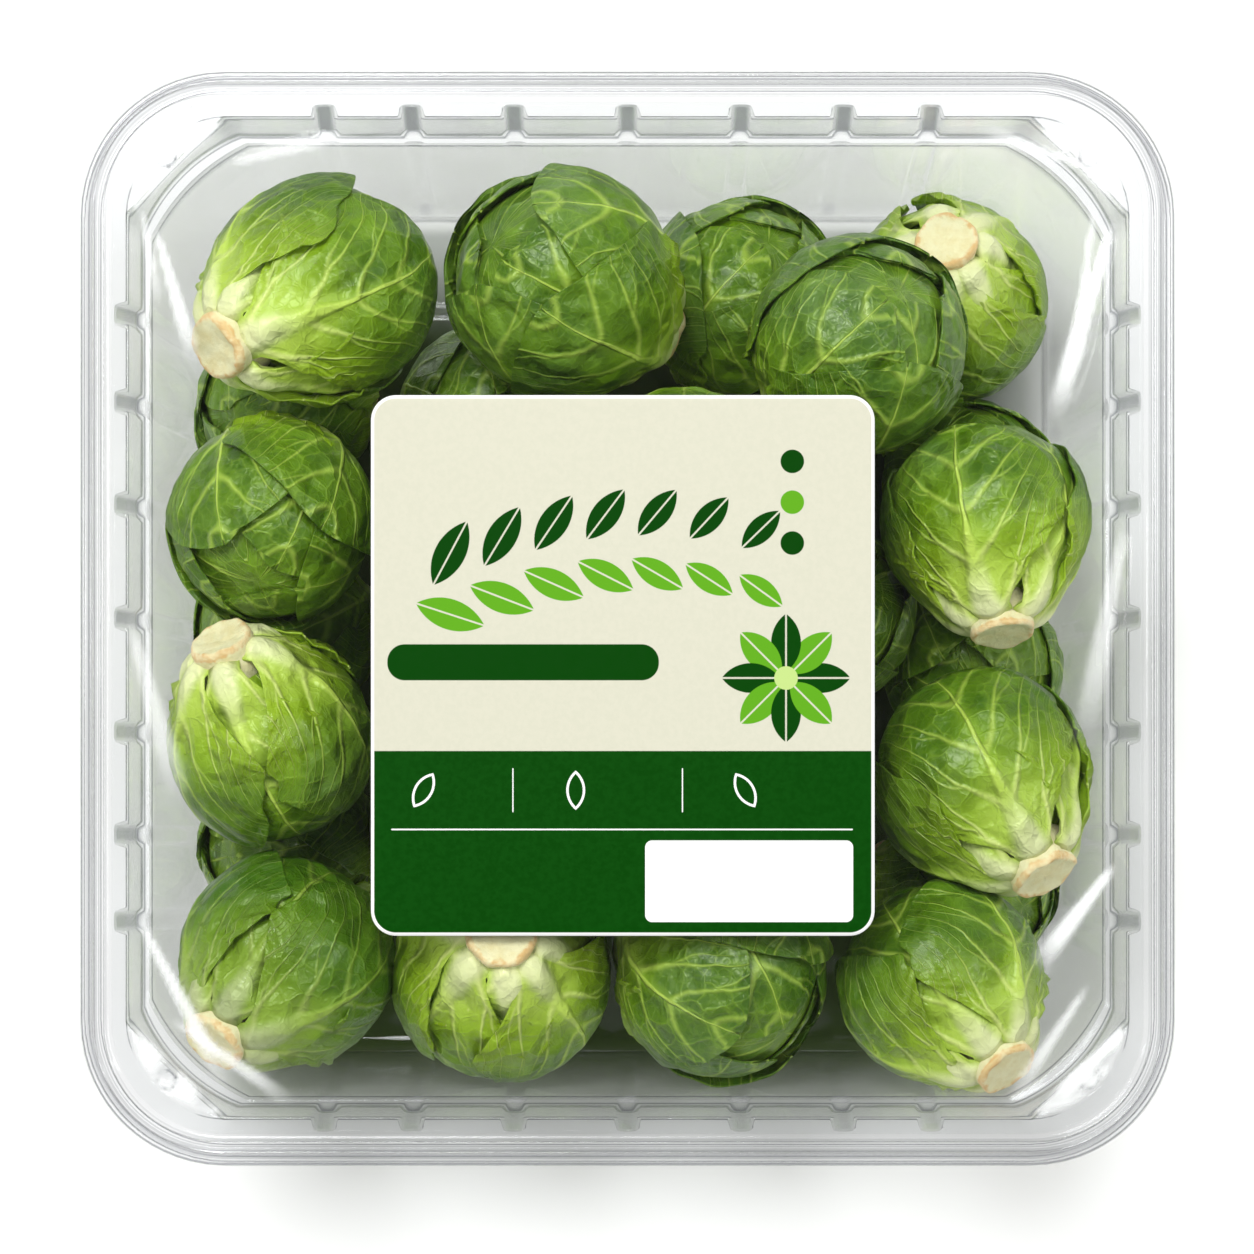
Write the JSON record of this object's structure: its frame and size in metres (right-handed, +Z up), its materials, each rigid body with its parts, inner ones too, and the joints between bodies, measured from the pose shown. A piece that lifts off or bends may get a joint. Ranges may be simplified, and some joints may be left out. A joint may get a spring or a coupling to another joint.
{
  "type": "punnet of brussels sprouts",
  "caption": "Square clear plastic punnet, sealed with clear film and labelled, filled with loose brussels sprouts.",
  "frame": {"origin": "middle of the footprint, on the surface that the tray's four pads stand on", "axes": "+Z up through the film, +Y towards the label's top edge, +X to its right"},
  "size_m": [0.14, 0.14, 0.0549],
  "materials": {
    "clear_tray": "glossy clear plastic, thermoformed",
    "clear_film": "glossy clear film, tight, with creases",
    "label_paper": "coated paper, satin, cream over dark green",
    "sprout_leaf": "waxy green leaf with pale veins"
  },
  "bodies": {
    "root": {"tray": "clear_tray", "lid_film": "clear_film", "label": "label_paper", "sprout_01": "sprout_leaf", "sprout_02": "sprout_leaf", "sprout_03": "sprout_leaf", "sprout_04": "sprout_leaf", "sprout_05": "sprout_leaf", "sprout_06": "sprout_leaf", "sprout_07": "sprout_leaf", "sprout_08": "sprout_leaf", "sprout_09": "sprout_leaf", "sprout_10": "sprout_leaf", "sprout_11": "sprout_leaf", "sprout_12": "sprout_leaf", "sprout_13": "sprout_leaf", "sprout_14": "sprout_leaf", "sprout_15": "sprout_leaf", "sprout_16": "sprout_leaf", "sprout_17": "sprout_leaf", "sprout_18": "sprout_leaf", "sprout_19": "sprout_leaf", "sprout_20": "sprout_leaf", "sprout_21": "sprout_leaf", "sprout_22": "sprout_leaf", "sprout_23": "sprout_leaf", "sprout_24": "sprout_leaf", "sprout_25": "sprout_leaf", "sprout_26": "sprout_leaf", "sprout_27": "sprout_leaf", "sprout_28": "sprout_leaf", "sprout_29": "sprout_leaf", "sprout_30": "sprout_leaf"}
  },
  "joints": []
}
